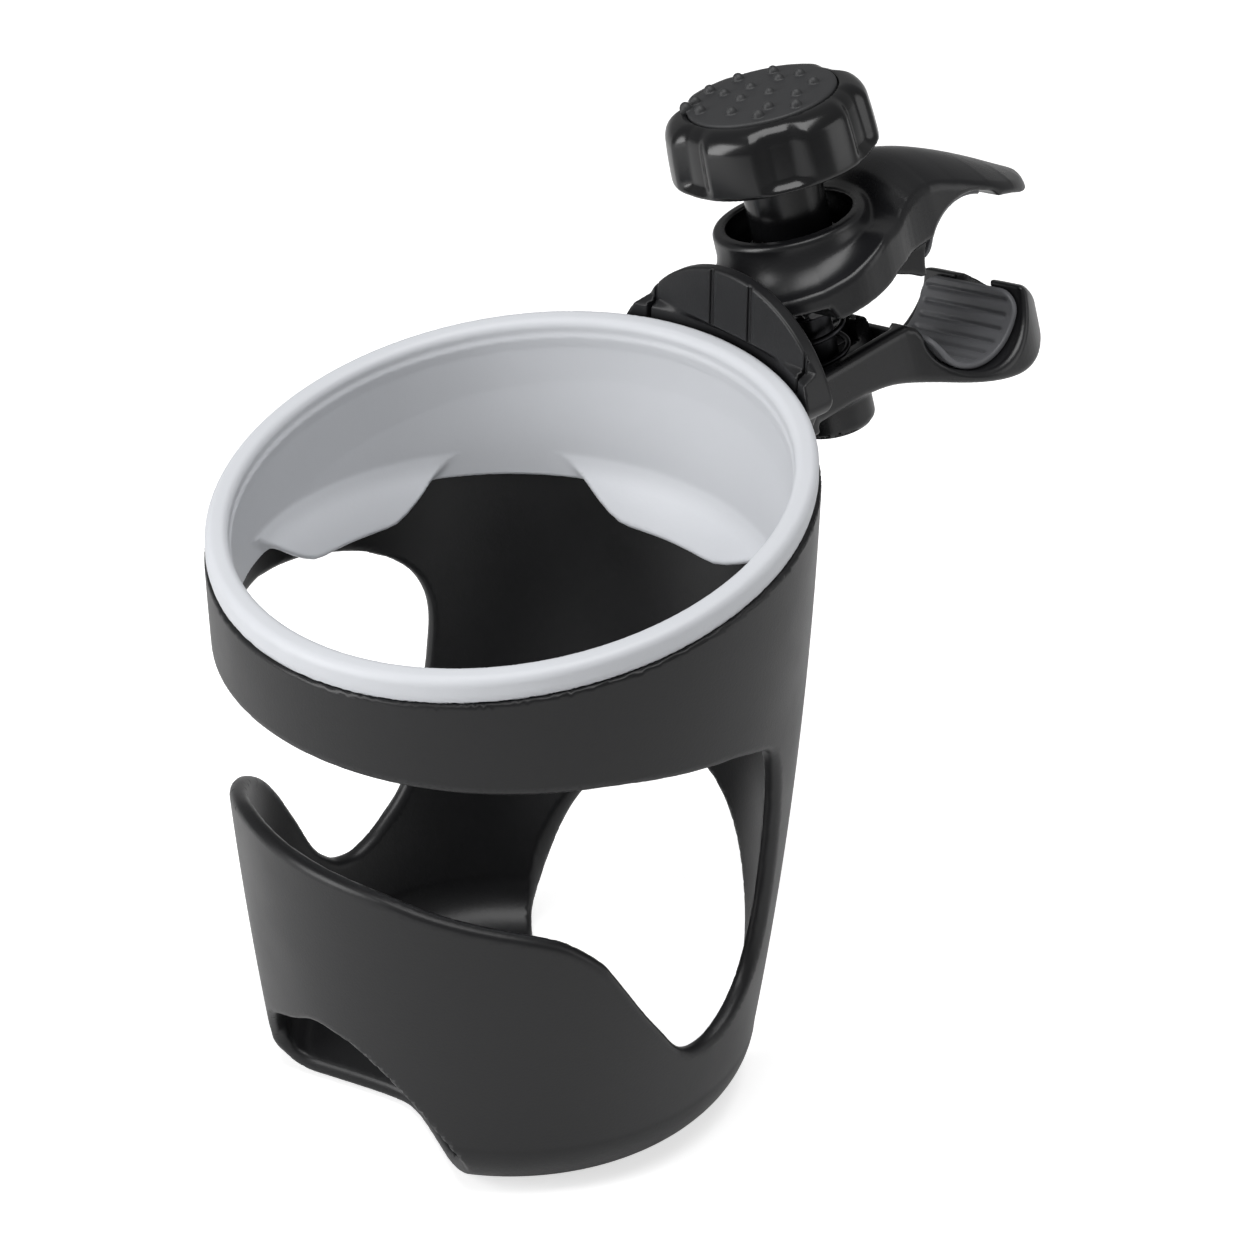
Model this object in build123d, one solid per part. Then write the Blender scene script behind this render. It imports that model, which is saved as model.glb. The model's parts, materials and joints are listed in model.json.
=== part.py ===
from build123d import *
import math
import os

# Tube-clamp cup holder: an open tapered cup that hangs from a two-jaw screw
# clamp by a round swivel plate.  Millimetres.  Origin on the cup axis at the
# plane of the foot, +Z up the cup, +X (rear) towards the clamp, -X front.

# ---------------------------------------------------------------- helpers
SWIVEL_Z = 100.0       # height of the swivel axis, along +X
CUT_X0 = 30.0          # cutters along X start here, inside the cup wall
CUT_X1 = 60.0          # and end here
FROM_BASE = (Align.CENTER, Align.CENTER, Align.MIN)


def arc(centre, radius, start, end, steps):
    """Points on an arc, angles in degrees."""
    angles = [math.radians(start + (end - start) * i / steps) for i in range(steps + 1)]
    return [(centre[0] + radius * math.cos(a), centre[1] + radius * math.sin(a)) for a in angles]


def hexagon(centre, corner_r, turn=0):
    """Corners of a hexagon, turned by an angle in degrees."""
    return arc(centre, corner_r, turn, turn + 300, 5)


def polygon(points):
    return make_face(Polyline(*points, close=True))


def revolve_outline(points):
    """Revolve a closed (radius, z) outline about the Z axis."""
    return revolve(polygon([(r, 0, z) for r, z in points]), Axis.Z, 360)


def mirror_y(half):
    """Close a (y, z) half outline that starts on y = 0 with its mirror image."""
    return half + [(-y, z) for y, z in half[:0:-1]]


def plate_x(points, x0, x1):
    """Extrude a (y, z) outline along X from x0 to x1."""
    face = polygon([(x0, y, z) for y, z in points])
    return extrude(face, amount=abs(x1 - x0), dir=(1 if x1 > x0 else -1, 0, 0))


def rod_x(x0, x1, radius, y=0.0, z=SWIVEL_Z):
    return Location((x0, y, z), (0, 90, 0)) * Cylinder(radius, x1 - x0, align=FROM_BASE)


# ---------------------------------------------------------------- cup shell
H_REF = 100.0          # height at which the outer radius is R_TOP
R_TOP = 45.0           # outer wall radius at H_REF
TAPER_1 = 1.83         # radius = R_TOP - TAPER_1*u - TAPER_2*u*u, u = 1 - z/H_REF
TAPER_2 = 6.60
WALL = 2.8             # thickness of wall and floor
FOOT_ROUND = 10.0      # outer rounding between wall and floor
BLANK_TOP = 114.0      # top of the wall before the slanted cut
WALL_STEPS = 26        # profile segments up the wall
SEAM_Z = 98.1          # height of the shell's top edge on the axis
SEAM_SLOPE = 0.183     # rise of the top edge per mm of x (about 10.4 degrees)
FRONT_FLOOR = 20.0     # distance from the axis to the front notch
REAR_FLOOR = 19.0      # distance from the axis to the rear notch
NOTCH_BASE = -4.0      # lower end of the notch cutters
CUT_R = (28.0, 64.0)   # radii between which the side opening is cut
CLOSE_DEG = 181.0      # the side cutters overlap past the front, at 180
MIN_GAP = 0.02         # least height of a side cutter
BOSS_R = 5.0           # bracket boss through the wall
SCREWS = [(10.5, 87.0), (-10.5, 87.0)]    # (y, z) of the bracket screws
SHANK_R = 1.2          # bracket screw shank
PILOT_X = 41.2         # inner end of the screw holes in the shell

# Outlines of the open side, (angle from +X in degrees, height): along the
# bowl's rim, up the panel's edge and along the lower edge of the band
OPENING_MINUS_Y = [
    (180, 56.0), (166, 55.8), (157, 55.2), (150, 54.1), (143, 53.1), (136, 52.1), (129, 51.0),
    (122, 49.3), (117.2, 47.0), (112.6, 43.9), (110.1, 41.3), (107.5, 38.3), (101.8, 31.9),
    (97.1, 27.3), (94.0, 24.3), (91.0, 22.2), (88.0, 21.1), (84.5, 20.7), (80.5, 21.0),
    (76.0, 22.2), (71.8, 24.1), (67.8, 26.9), (65.0, 30.6), (63.4, 35.5), (63.2, 42.0),
    (63.9, 49.0), (65.2, 56.0), (67.0, 62.0), (69.0, 66.4), (71.4, 69.2), (75.0, 71.0),
    (80.0, 72.4), (84.0, 73.4), (90.0, 74.2), (97.0, 75.0), (103.5, 75.7), (112.0, 76.4),
    (122.0, 76.6), (180.0, 76.6)]
OPENING_PLUS_Y = [
    (180, 56.0), (166, 55.8), (157, 55.2), (150, 53.9), (143, 52.2), (136, 50.2), (129, 47.6),
    (122, 43.9), (116, 38.9), (110, 32.0), (104, 24.4), (98, 20.4), (94, 19.3), (90.5, 19.2),
    (87.3, 19.9), (84.0, 21.2), (80.6, 23.2), (77.2, 25.6), (74.2, 29.0), (71.2, 36.0),
    (68.6, 44.0), (67.0, 52.0), (66.6, 57.3), (67.6, 61.2), (70.0, 64.6), (73.6, 67.2),
    (78.0, 69.2), (84.0, 71.2), (93.4, 73.2), (101.0, 74.6), (112.0, 76.0), (122.0, 76.5),
    (180.0, 76.6)]
# Half outlines of the notches through wall and floor, (y, z) from the crown down
FRONT_ARCH = [
    (0, 24.8), (4, 24.5), (8, 23.2), (11.5, 21.3), (14.6, 18.9), (17.0, 16.2), (19.2, 12.4),
    (21.2, 7.9), (23.0, 3.4), (24.6, 0.9), (27, -1.4), (27, NOTCH_BASE)]
REAR_ARCH = [
    (0, 38.2), (5, 37.7), (9, 36.3), (13, 33.6), (16.5, 30.2), (19.5, 26.0), (21.8, 20.7),
    (23.3, 14.2), (24.2, 8.0), (24.8, 2.6), (27, -1.0), (27, NOTCH_BASE)]


def wall_r(z):
    """Outer wall radius at height z."""
    u = 1 - z / H_REF
    return R_TOP - TAPER_1 * u - TAPER_2 * u * u


def wall_line(heights, offset):
    """Outline points that follow the wall at a radial offset."""
    return [(wall_r(z) + offset, z) for z in heights]


def below_seam(offset=0.0, size=200.0):
    """Large block under the slanted top edge, raised by offset."""
    slope_deg = math.degrees(math.atan(SEAM_SLOPE))
    block = Box(size, size, size, align=(Align.CENTER, Align.CENTER, Align.MAX))
    return Location((0, 0, SEAM_Z + offset), (0, -slope_deg, 0)) * block


def cup_blank(inset):
    """Solid cup whose surface lies inset inside the outer one."""
    foot_r = FOOT_ROUND - inset
    centre = (wall_r(FOOT_ROUND) - inset - foot_r, FOOT_ROUND)
    foot = arc(centre, foot_r, -90, -15, 5)
    rise = BLANK_TOP - FOOT_ROUND
    heights = [FOOT_ROUND + rise * i / WALL_STEPS for i in range(WALL_STEPS + 1)]
    wall = wall_line(heights, -inset)
    return revolve_outline([(0, inset)] + foot + wall + [(0, BLANK_TOP)])


def height_at(line, angle):
    """Interpolate the height of an outline branch."""
    for (a1, z1), (a2, z2) in zip(line[:-1], line[1:]):
        if min(a1, a2) <= angle <= max(a1, a2):
            return z1 + (z2 - z1) * (angle - a1) / (a2 - a1)


def wedge(low, high, angles, sign):
    """Triangulated cutter between two stations, with radial edges."""
    corners = []
    for angle in angles:
        bottom = height_at(low, angle)
        top = max(height_at(high, angle), bottom + MIN_GAP)
        cosine, sine = math.cos(math.radians(angle)), sign * math.sin(math.radians(angle))
        corners.append((cosine, sine, bottom, top))
    (c1, s1, low1, top1), (c2, s2, low2, top2) = corners
    inner, outer = [
        [(r * c1, r * s1, low1), (r * c2, r * s2, low2), (r * c2, r * s2, top2),
         (r * c1, r * s1, top1)] for r in CUT_R]
    quads = [inner, outer]
    for i in range(4):
        j = (i + 1) % 4
        quads.append([inner[i], inner[j], outer[j], outer[i]])
    faces = []
    for p, q, r, s in quads:
        for triangle in ((p, q, r), (p, r, s)):
            points = [Vector(*point) for point in triangle]
            faces.append(Face(Wire.make_polygon(points, close=True)))
    return Solid(Shell(faces))


def side_wedges(side, sign):
    """Cutters for one side of the opening; sign is that of y."""
    turn = min(range(len(side)), key=lambda i: side[i][0])
    low = [(CLOSE_DEG, side[0][1])] + side[:turn + 1]
    high = side[turn:] + [(CLOSE_DEG, side[-1][1])]
    angles = sorted({a for a, _ in side} | {CLOSE_DEG})
    return [wedge(low, high, pair, sign) for pair in zip(angles[:-1], angles[1:])]


def cup_shell():
    shell = (cup_blank(0.0) - cup_blank(WALL)) & below_seam()
    shell = shell - (side_wedges(OPENING_MINUS_Y, -1) + side_wedges(OPENING_PLUS_Y, 1))
    shell = shell - plate_x(mirror_y(FRONT_ARCH), -FRONT_FLOOR, -CUT_X1)
    shell = shell - plate_x(mirror_y(REAR_ARCH), REAR_FLOOR, CUT_X1)
    shell = shell - rod_x(CUT_X0, CUT_X1, BOSS_R + 0.25)
    for y, z in SCREWS:
        shell = shell - rod_x(PILOT_X, CUT_X1, SHANK_R, y, z)
    return shell


# ---------------------------------------------------------------- grip liner
LIP_T = 4.0            # height of the liner's rim above the shell
LIP_OUT = 44.6         # outer radius of the rim
LIP_IN = 41.1          # inner radius of the rim
SKIRT_IN = 40.4        # inner radius at the skirt's lower edge
SKIRT_GAP = 0.15       # between skirt and shell
SKIRT_Z = 81.4         # lower edge of the skirt
FLAP_HALF_DEG = 24.0   # half width of each gripping flap
FLAP_ROOT_R = 40.7     # radius of a flap's root, in the skirt
FLAP_R = 36.0          # radius of a flap's free edge
FLAP_Z = 77.0          # height of a flap's free edge
SECTOR_R = 60.0        # radius of the block that bounds a flap


def grip_liner():
    lip = Location((0, 0, 80)) * Cylinder(LIP_OUT, 60, align=FROM_BASE)
    lip = (lip & below_seam(LIP_T)) - below_seam(0.05)
    skirt_wall = wall_line((SKIRT_Z, 95, 112), -WALL - SKIRT_GAP)
    skirt = revolve_outline([(0, SKIRT_Z)] + skirt_wall + [(0, 112)])
    body = (skirt & below_seam(0.5)) + lip
    liner = body - revolve_outline([
        (0, 70), (SKIRT_IN, 70), (SKIRT_IN, SKIRT_Z), (LIP_IN, 95), (LIP_IN, 125), (0, 125)])
    sector_plan = [(0, 0)] + arc((0, 0), SECTOR_R, 0, 2 * FLAP_HALF_DEG, 3)
    for angle in (0, 90, 180, 270):
        ring = revolve_outline([
            (FLAP_ROOT_R, FLAP_Z + 5.9), (FLAP_ROOT_R, FLAP_Z + 8.5),
            (FLAP_R, FLAP_Z + 1.6), (FLAP_R, FLAP_Z)])
        sector = extrude(polygon(sector_plan), amount=40)
        liner = liner + (ring & Location((0, 0, 60), (0, 0, angle - FLAP_HALF_DEG)) * sector)
    return liner


# ---------------------------------------------------------------- cup bracket
DISC_R = 20.8          # radius of the bracket's round head
NECK_HALF = 15.5       # half width of the bracket below its head
DISC_X = 46.6          # outer face of the bracket
SADDLE_GAP = 0.08      # between bracket and cup wall
HEAD_TOP = (43.9, 111.5)    # (x, z) corner of the step at the head's top
BOSS_X = (42.6, 46.2)  # ends of the boss
POCKET_X, POCKET_R = 45.0, 4.35    # floor and radius of the swivel nut's pocket
SPIGOT_R = 4.0         # swivel spigot of the clamp in the bracket
HEAD_R = 2.7           # bracket screw head
# Half outline of the bracket seen along X, (y, z) from the bottom up
HEAD_HALF = [
    (0, 82), (9, 82), (13.4, 84.6), (NECK_HALF, 88.5), (NECK_HALF, 101.4), (17.2, 103.6),
    (22, 105.2), (22, 125)]


def cup_bracket():
    disc = rod_x(CUT_X0, DISC_X, DISC_R) & plate_x(mirror_y(HEAD_HALF), CUT_X0, 50.0)
    wall = wall_line((60, 75, 90, 106, 111.6), SADDLE_GAP)
    saddle = revolve_outline([(0, 60)] + wall + [(0, 111.6)])
    above = Box(60, 80, 60, align=(Align.MAX, Align.CENTER, Align.MIN))
    bracket = disc - saddle - Location((HEAD_TOP[0], 0, HEAD_TOP[1])) * above
    bracket = bracket + rod_x(*BOSS_X, BOSS_R)
    bracket = bracket - rod_x(CUT_X0, POCKET_X, POCKET_R)
    bracket = bracket - rod_x(CUT_X0, CUT_X1, SPIGOT_R + 0.05)
    for y, z in SCREWS:
        bracket = bracket - rod_x(CUT_X0, CUT_X1, SHANK_R + 0.25, y, z)
        bracket = bracket - rod_x(DISC_X - 2.0, CUT_X1, HEAD_R + 0.2, y, z)
    return bracket


def bracket_screws():
    screws = []
    for y, z in SCREWS:
        head = rod_x(DISC_X - 1.95, DISC_X - 0.15, HEAD_R, y, z)
        head = head - rod_x(DISC_X - 1.1, CUT_X1, 1.0, y, z)
        screws.append(head + rod_x(PILOT_X + 0.2, DISC_X - 1.9, SHANK_R, y, z))
    return Compound(children=screws)


# ---------------------------------------------------------------- swivel hardware
CLAMP_X = 47.1         # rear face of the bracket-side gap: the clamp starts here
BOLT_R = 2.0
BOLT_SEAT_X = 53.6     # seat of the bolt head in the lower jaw
BOLT_END_X = 42.9      # inner end of bolt and nut
SWIVEL_NUT_T = 1.5
SWIVEL_NUT_R = 4.04    # corner radius


def swivel_bolt():
    bolt = rod_x(BOLT_SEAT_X + 0.05, 56.2, 3.8) + rod_x(BOLT_END_X, 53.7, BOLT_R)
    return bolt - rod_x(55.0, CUT_X1, 1.3)


def swivel_nut():
    corners = hexagon((0, SWIVEL_Z), SWIVEL_NUT_R)
    nut = plate_x(corners, BOLT_END_X, BOLT_END_X + SWIVEL_NUT_T)
    return nut - rod_x(CUT_X0, CUT_X1, BOLT_R)


def washer_x(x0, x1, outer_r, bore_r):
    return rod_x(x0, x1, outer_r) - rod_x(CUT_X0, CUT_X1, bore_r)


# ---------------------------------------------------------------- clamp frame
# Clamp coordinates: u along the arms, k up the screw, t along the tube,
# modelled as x, y, z and then placed.
CLAMP_O = (50.0, 1.5, 99.7)    # origin of the clamp frame
PITCH = math.radians(7.0)      # arms rise outwards
ROLL = math.radians(12.4)      # roll about the arm direction
PIN = (1.8, 9.6)               # hinge pin (u, k)
PIN_R = 1.5
SCREW_U = 15.0                 # place of the screw axis along the arms
SCREW_R = 3.0
SEAT = (38.8, -2.5)            # (u, k) of the tube seat in the lower jaw
TUBE_R = 8.5                   # tube radius that the seat fits
PAD_T = 1.2                    # depth of the seat for its pad
SEAT_R = TUBE_R + PAD_T
PAD_HALF = 10.5                # half width of the pads along the tube
CLAW = (40.4, 7.2)             # (u, k) of the upper claw, open
CLAW_R = 9.3                   # radius of the bare claw
CUT_T = 20.0                   # half length of cutters along the tube

arm_dir = Vector(math.cos(PITCH), 0, math.sin(PITCH))
upright = Vector(-math.sin(PITCH), 0, math.cos(PITCH))
tube_dir = Vector(0, -1, 0) * math.cos(ROLL) + upright * math.sin(ROLL)
FRAME = Plane(origin=CLAMP_O, x_dir=arm_dir, z_dir=tube_dir)


def place(shape):
    """Move a shape from clamp coordinates to the cup's."""
    return FRAME.location * shape


def slab(points, half=CUT_T):
    """Extrude a (u, k) side outline from t = -half to half."""
    return Location((0, 0, -half)) * extrude(polygon(points), amount=2 * half)


def plan(points, k_lo, k_hi):
    """Extrude a (u, t) plan outline from k_lo to k_hi."""
    face = polygon([(u, k_lo, t) for u, t in points])
    return extrude(face, amount=k_hi - k_lo, dir=(0, 1, 0))


def mirror_t(half, tip_u):
    """Close a (u, t) half outline through its tip on t = 0."""
    return [(u, -t) for u, t in half] + [(tip_u, 0)] + half[::-1]


def rod_k(k_lo, k_hi, radius, u=SCREW_U, t=0.0):
    rod = Cylinder(radius, k_hi - k_lo, align=FROM_BASE)
    return Location((u, k_lo, t), (-90, 0, 0)) * rod


def screw_bore(radius):
    """Through cutter on the screw axis."""
    return rod_k(-20, 50, radius)


def rod_t(centre, radius, t_lo=-CUT_T, t_hi=CUT_T):
    return Location((*centre, t_lo)) * Cylinder(radius, t_hi - t_lo, align=FROM_BASE)


def hex_prism(corner_r, k_lo, k_hi):
    return plan(hexagon((SCREW_U, 0), corner_r, 30), k_lo, k_hi)


def jaw_pad(centre, outer_r, inner_r, start, end):
    """Ring segment between two angles in degrees."""
    pad = rod_t(centre, outer_r, -PAD_HALF, PAD_HALF) - rod_t(centre, inner_r)
    return place(pad & slab([centre] + arc(centre, 16, start, end, 12)))


# ---------------------------------------------------------------- lower jaw
JAW_BASE_K = -13.0     # lower end of the screw boss
NUT_K = (-11.45, -6.45)
NUT_R = 5.75           # corner radius of the clamp nut
COVER_R = 5.8
KNUCKLE_HALF = 5.35    # half width of the upper jaw's knuckle
# Side outline (u, k)
LOWER_SIDE = (
    [(0.6, -0.3), (26.5, -0.3), (28.6, -1.6)] + arc(SEAT, SEAT_R, 183, 357, 40) +
    [(50.0, -3.6), (53.2, -6.0), (56.4, -9.4), (57.9, -12.2), (57.7, -14.2), (55.6, -15.9),
     (49.0, -16.4), (42.0, -15.6), (34.0, -13.2), (27.0, -10.2), (20.0, -7.6), (0.6, -7.6)])
# Half plan (u, t)
LOWER_HALF = [
    (-2, 8), (26, 8), (29, 9.1), (33, 11.2), (37, 12.9), (41, 13.4), (45, 13.0), (49, 11.4),
    (53, 8.4), (56, 5.0), (57.6, 2.0)]
# Side outline (u, k) of the hinge block
HINGE_SIDE = [(-1.0, -9.0), (5.6, -9.0), (5.6, 10.2), (2.8, 12.3), (0.6, 12.3), (-1.0, 11.0)]


def lower_jaw():
    jaw = slab(LOWER_SIDE, 14) & plan(mirror_t(LOWER_HALF, 58.0), -20, 4)
    jaw = jaw - rod_t(SEAT, SEAT_R)
    jaw = jaw + rod_k(JAW_BASE_K, -5.0, 6.6)
    jaw = jaw + slab(HINGE_SIDE, 8)
    # well between the two arm walls, slot for the upper jaw's knuckle
    jaw = jaw - slab([(6.4, -4.4), (26.0, -4.4), (26.0, 3), (6.4, 3)], 5.4)
    jaw = jaw - slab([(-3, 5.6), (8, 5.6), (8, 20), (-3, 20)], KNUCKLE_HALF + 0.25)
    # screw passage, nut pocket and cover recess from below
    jaw = jaw - screw_bore(SCREW_R + 0.5)
    jaw = jaw - hex_prism(NUT_R + 0.08, -14, NUT_K[1] + 0.05)
    jaw = jaw - rod_k(-14, -11.6, COVER_R + 0.1)
    jaw = jaw - rod_t(PIN, PIN_R)
    jaw = place(jaw)
    # trim at the swivel face, then flange, spigot and bolt hole on the swivel axis
    beyond = Box(100, 100, 120, align=(Align.MIN, Align.CENTER, Align.CENTER))
    jaw = jaw & Location((CLAMP_X, 0, SWIVEL_Z)) * beyond
    jaw = jaw + rod_x(CLAMP_X, 53.0, 5.6) + rod_x(45.3, CLAMP_X + 0.5, SPIGOT_R)
    return jaw - rod_x(CUT_X0, CUT_X1, BOLT_R + 0.05) - rod_x(BOLT_SEAT_X, CUT_X1, 4.4)


def pin_retainers():
    """A thin ring near each end of the hinge pin."""
    rings = []
    for t in (-8.75, 8.15):
        rings.append(place(rod_t(PIN, 2.6, t, t + 0.6) - rod_t(PIN, PIN_R)))
    return Compound(children=rings)


def clamp_nut():
    return place(hex_prism(NUT_R, *NUT_K) - screw_bore(SCREW_R + 0.05))


def nut_cover():
    return place(rod_k(JAW_BASE_K, -11.65, COVER_R) - screw_bore(SCREW_R + 0.4))


# ---------------------------------------------------------------- upper jaw
COLLAR_TOP_K = 22.2
# Side outline (u, k)
UPPER_SIDE = (
    [(0.2, 12.9), (0.2, 15.0), (1.6, 15.6), (7.0, 16.0), (14.0, 17.2), (20.0, 19.6),
     (25.0, 22.8), (30.0, 24.9), (34.0, 24.8), (39.0, 23.2), (45.0, 20.2), (51.0, 16.8),
     (57.0, 13.0), (60.6, 10.6), (61.0, 9.0), (59.6, 8.0), (55.0, 10.2), (49.6, 12.3)] +
    arc(CLAW, CLAW_R, 42, 176, 24) +
    [(31.0, 6.2), (29.0, 7.4), (24.0, 9.2), (13.0, 7.9), (8.6, 8.6), (6.8, 12.9)])
# Half plans (u, t): the full-height core, and the wider top
CORE_HALF = [
    (-1, 7), (6, 7.4), (14, 8.2), (24, 9.0), (32, 10.2), (40, 11.6), (46, 11.8), (52, 10.6),
    (57, 7.4), (60.2, 3.4)]
TOP_HALF = [
    (-1, 7), (1.6, 8.2), (4.2, 10.8), (8, 13.4), (12.5, 15.0), (17.5, 15.0), (22.5, 13.6),
    (28, 12.0), (34, 11.4), (40, 11.7), (46, 11.8), (52, 10.6), (57, 7.4), (60.2, 3.4)]
UPPER_TIP_U = 61.2


def upper_jaw():
    core = slab(UPPER_SIDE, 16) & plan(mirror_t(CORE_HALF, UPPER_TIP_U), 4, 26)
    jaw = core + (slab(UPPER_SIDE, 16) & plan(mirror_t(TOP_HALF, UPPER_TIP_U), 11.2, 26))
    knuckle = rod_t(PIN, 3.1, -KNUCKLE_HALF, KNUCKLE_HALF)
    knuckle = knuckle + slab([(0.6, 10.0), (5.0, 10.0), (8.0, 14.0), (0.6, 14.0)], KNUCKLE_HALF)
    # collar around the screw, channel in the underside
    jaw = jaw + rod_k(12.0, COLLAR_TOP_K, 12.0)
    jaw = jaw - slab([(5.6, 7.0), (26.4, 7.0), (26.4, 11.0), (5.6, 11.0)], 5.9)
    jaw = jaw + knuckle
    jaw = jaw - rod_k(14.0, 40, 9.9)
    jaw = jaw - screw_bore(5.6)
    jaw = jaw - rod_t(CLAW, CLAW_R)
    jaw = jaw - rod_t(PIN, PIN_R + 0.05)
    # room for the ears of the lower jaw beside the knuckle
    for side in (1, -1):
        jaw = jaw - Location((2.0, 8.3, side * 7.5)) * Box(9.4, 9.2, 3.9)
    return place(jaw)


# ---------------------------------------------------------------- opening spring
SPRING_PITCH = 4.1
COILS = 3.5
COIL_R = 4.6
WIRE_R = 0.45
SPRING_K = -3.85       # lower end of the coil


def opening_spring():
    path = Helix(pitch=SPRING_PITCH, height=SPRING_PITCH * COILS, radius=COIL_R,
                 center=(0, 0, 0))
    section = Plane(origin=path @ 0, z_dir=path % 0) * Circle(WIRE_R)
    spring = sweep(section, path=path, is_frenet=True)
    return place(Location((SCREW_U, SPRING_K, 0), (-90, 0, 0)) * spring)


# ---------------------------------------------------------------- screw and knob
KNOB_R = 16.4          # radius at the lobes
KNOB_K = (31.5, 41.9)  # ends of the knob
LOBES = 6
LOBE_DEPTH = 1.3
LOBE_POWER = 1.6       # sharpness of the hollows between lobes
LOBE_TURN = 0.32       # rotation of the outline in radians
KNOB_STEPS = 120
HEAD_K = (33.0, 37.5)  # screw head inside the knob
SCREW_HEAD_R = 4.6
CAP_K = 40.25          # underside of the cap's disc
CAP_R = 11.5
# Rings of raised dots on the cap: (ring radius, count, start angle in radians)
DOT_RINGS = ((0.0, 1, 0), (4.2, 6, 0.2), (8.6, 11, 0.0))


def clamp_screw():
    return place(rod_k(-11.0, 38.0, SCREW_R) + rod_k(*HEAD_K, SCREW_HEAD_R))


def thrust_washer():
    return place(rod_k(16.6, 17.8, 7.8) - screw_bore(SCREW_R + 0.25))


def knob_sleeve():
    return place(rod_k(18.1, KNOB_K[0], 6.2) - screw_bore(SCREW_R))


def knob_body():
    outline = []
    for i in range(KNOB_STEPS):
        angle = 2 * math.pi * i / KNOB_STEPS
        wave = 0.5 + 0.5 * math.cos(LOBES * angle)
        r = KNOB_R - LOBE_DEPTH * (1 - wave) ** LOBE_POWER
        turned = angle + LOBE_TURN
        outline.append((SCREW_U + r * math.cos(turned), r * math.sin(turned)))
    knob = plan(outline, *KNOB_K)
    knob = knob - screw_bore(SCREW_R) - rod_k(*HEAD_K, SCREW_HEAD_R)
    knob = knob - rod_k(CAP_K - 0.05, 45, CAP_R + 0.1)
    return place(knob - rod_k(37.4, 41, SCREW_HEAD_R))


def knob_cap():
    cap = rod_k(CAP_K, 42.3, CAP_R) + rod_k(38.1, 40.3, 4.4)
    for ring_r, count, start in DOT_RINGS:
        for i in range(count):
            angle = start + 2 * math.pi * i / count
            u = SCREW_U + ring_r * math.cos(angle)
            cap = cap + rod_k(42.2, 43.0, 0.75, u, ring_r * math.sin(angle))
    return place(cap)


# ---------------------------------------------------------------- export
PARTS = {
    "cup_shell": cup_shell(),
    "grip_liner": grip_liner(),
    "cup_bracket": cup_bracket(),
    "bracket_screws": bracket_screws(),
    "lower_jaw": lower_jaw(),
    "lower_pad": jaw_pad(SEAT, SEAT_R - 0.1, TUBE_R, 187, 353),
    "hinge_pin": place(rod_t(PIN, PIN_R, -8.8, 8.8)),
    "pin_retainers": pin_retainers(),
    "clamp_nut": clamp_nut(),
    "nut_cover": nut_cover(),
    "swivel_bolt": swivel_bolt(),
    "swivel_nut": swivel_nut(),
    "swivel_washer": washer_x(44.5, 44.95, 4.2, BOLT_R + 0.1),
    "friction_washer": washer_x(46.68, 47.02, 6.6, SPIGOT_R + 0.3),
    "upper_jaw": upper_jaw(),
    "upper_pad": jaw_pad(CLAW, CLAW_R - 0.1, CLAW_R - 1.0, 50, 172),
    "opening_spring": opening_spring(),
    "clamp_screw": clamp_screw(),
    "thrust_washer": thrust_washer(),
    "knob_sleeve": knob_sleeve(),
    "knob_body": knob_body(),
    "knob_cap": knob_cap(),
}

os.makedirs("parts", exist_ok=True)
for name, shape in PARTS.items():
    export_step(shape, f"parts/{name}.step")
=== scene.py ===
"""Cup on a swivelling screw clamp.

The cup stands on z = 0 with its axis on z. Its front is -x, and the bracket and clamp are at the
rear, +x. "Near" is -y and "far" is +y. Clamp pieces use the tilted frame (along, up, across):
along runs away from the cup and across runs to the near side.
Pieces are signed distance fields in millimetres, negative inside, meshed and scaled to metres.
"""
import json
import math
from functools import reduce

import bpy
import numpy as np
from mathutils import Matrix, Vector

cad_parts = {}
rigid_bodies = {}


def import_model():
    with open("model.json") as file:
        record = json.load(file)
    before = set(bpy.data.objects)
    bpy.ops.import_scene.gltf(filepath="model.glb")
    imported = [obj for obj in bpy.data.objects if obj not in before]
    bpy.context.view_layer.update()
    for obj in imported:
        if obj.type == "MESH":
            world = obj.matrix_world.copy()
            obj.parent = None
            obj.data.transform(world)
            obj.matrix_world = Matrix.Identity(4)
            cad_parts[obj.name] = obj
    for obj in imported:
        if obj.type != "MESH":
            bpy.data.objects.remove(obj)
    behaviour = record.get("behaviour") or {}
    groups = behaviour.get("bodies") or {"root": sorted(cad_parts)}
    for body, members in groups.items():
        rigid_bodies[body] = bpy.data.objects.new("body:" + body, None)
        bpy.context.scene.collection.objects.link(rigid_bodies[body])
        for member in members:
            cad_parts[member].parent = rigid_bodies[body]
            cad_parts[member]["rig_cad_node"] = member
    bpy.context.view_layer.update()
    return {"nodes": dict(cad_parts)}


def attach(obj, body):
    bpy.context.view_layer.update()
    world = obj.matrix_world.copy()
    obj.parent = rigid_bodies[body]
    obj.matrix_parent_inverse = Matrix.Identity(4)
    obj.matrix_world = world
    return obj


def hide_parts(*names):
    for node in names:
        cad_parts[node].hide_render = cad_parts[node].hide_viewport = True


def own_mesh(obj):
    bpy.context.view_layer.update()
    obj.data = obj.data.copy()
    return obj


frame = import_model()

NODES = frame["nodes"]
scene = bpy.context.scene

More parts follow.
